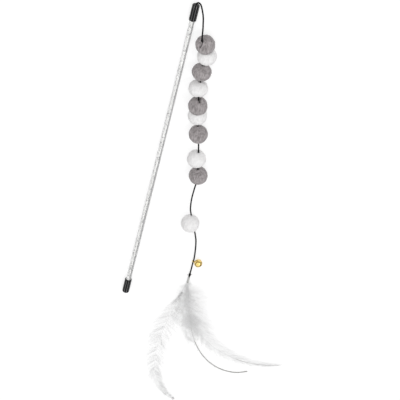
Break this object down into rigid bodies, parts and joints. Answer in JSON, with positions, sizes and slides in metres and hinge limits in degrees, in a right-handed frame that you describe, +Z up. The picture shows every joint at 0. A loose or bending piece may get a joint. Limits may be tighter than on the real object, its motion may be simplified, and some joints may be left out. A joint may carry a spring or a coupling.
{
  "type": "cat teaser wand",
  "caption": "Slim clear glitter rod with ribbed end caps and an elastic cord carrying felt balls, a jingle bell and long white feathers.",
  "frame": {"origin": "on the plane the wand lies on, under the middle of the rod's length", "axes": "+Y along the rod towards the tip that holds the cord, +Z up from the plane it lies on, +X towards the side the cord lies on"},
  "size_m": [0.2189, 0.5911, 0.0245],
  "materials": {
    "clear_acrylic": "gloss",
    "glitter_film": "glitter",
    "black_cap": "satin",
    "elastic_cord": "matte",
    "grey_felt": "matte",
    "white_felt": "matte",
    "bell_brass": "polished",
    "pellet_steel": "plain",
    "binding_thread": "matte",
    "white_feather": "matte",
    "white_down": "matte"
  },
  "bodies": {
    "wand": {"rod_tube": "clear_acrylic", "glitter_film": "glitter_film", "grip_cap": "black_cap", "tip_cap": "black_cap", "anchor_knot": "elastic_cord", "cord_tip": "elastic_cord"},
    "line": {"cord_line": "elastic_cord", "end_knot": "elastic_cord"},
    "ball_1": {"ball_1": "grey_felt"},
    "ball_2": {"ball_2": "white_felt"},
    "ball_3": {"ball_3": "grey_felt"},
    "ball_4": {"ball_4": "white_felt"},
    "ball_5": {"ball_5": "grey_felt"},
    "ball_6": {"ball_6": "white_felt"},
    "ball_7": {"ball_7": "grey_felt"},
    "ball_8": {"ball_8": "white_felt"},
    "ball_9": {"ball_9": "grey_felt"},
    "ball_10": {"ball_10": "white_felt"},
    "bell": {"bell_top": "bell_brass", "bell_bottom": "bell_brass", "bell_loop": "bell_brass"},
    "pellet": {"bell_pellet": "pellet_steel"},
    "feathers": {"feather_binding": "binding_thread", "feather_left": "white_feather", "feather_middle": "white_feather", "feather_right": "white_feather", "plume_1": "white_down", "plume_2": "white_down", "plume_3": "white_down", "plume_4": "white_down"}
  },
  "joints": [
    {"name": "line_swing", "type": "hinge", "parent": "wand", "child": "line", "pos_m": [0.0024, 0.2124, 0.0069], "axis": [0, 0, 1], "range_deg": [0, 120]},
    {"name": "ball_1_spin", "type": "hinge", "parent": "line", "child": "ball_1", "pos_m": [0.01601, 0.16548, 0.0167], "axis": [0.2378, -0.9486, -0.2087], "continuous": true},
    {"name": "ball_2_spin", "type": "hinge", "parent": "line", "child": "ball_2", "pos_m": [0.02005, 0.14936, 0.01315], "axis": [0.2378, -0.9486, -0.2087], "continuous": true},
    {"name": "ball_3_spin", "type": "hinge", "parent": "line", "child": "ball_3", "pos_m": [0.02347, 0.12853, 0.01075], "axis": [0.0868, -0.996, -0.0228], "continuous": true},
    {"name": "ball_4_spin", "type": "hinge", "parent": "line", "child": "ball_4", "pos_m": [0.02547, 0.10646, 0.01388], "axis": [0.0902, -0.9543, 0.2849], "continuous": true},
    {"name": "ball_5_spin", "type": "hinge", "parent": "line", "child": "ball_5", "pos_m": [0.02858, 0.08589, 0.01412], "axis": [0.1792, -0.96, -0.215], "continuous": true},
    {"name": "ball_6_spin", "type": "hinge", "parent": "line", "child": "ball_6", "pos_m": [0.03151, 0.07021, 0.01061], "axis": [0.1792, -0.96, -0.215], "continuous": true},
    {"name": "ball_7_spin", "type": "hinge", "parent": "line", "child": "ball_7", "pos_m": [0.03733, 0.04517, 0.00947], "axis": [0.2375, -0.9669, 0.0933], "continuous": true},
    {"name": "ball_8_slide", "type": "slide", "parent": "line", "child": "ball_8", "axis": [-0.1907, 0.9816, -0.0031], "range_m": [0, 0.009]},
    {"name": "ball_9_spin", "type": "hinge", "parent": "line", "child": "ball_9", "pos_m": [0.04844, -0.01224, 0.00997], "axis": [0.1225, -0.9886, -0.0875], "continuous": true},
    {"name": "ball_10_slide", "type": "slide", "parent": "line", "child": "ball_10", "axis": [-0.3599, 0.933, 0], "range_m": [-0.004, 0.004]},
    {"name": "bell_turn", "type": "hinge", "parent": "line", "child": "bell", "pos_m": [0.0723, -0.14554, 0.0026], "axis": [0, -1, 0], "continuous": true},
    {"name": "pellet_roll", "type": "hinge", "parent": "bell", "child": "pellet", "pos_m": [0.07839, -0.14554, 0.005], "axis": [0.9305, 0, 0.3664], "continuous": true},
    {"name": "feather_twist", "type": "hinge", "parent": "line", "child": "feathers", "pos_m": [0.0725, -0.1713, 0.0019], "axis": [0, -1, 0], "continuous": true}
  ]
}
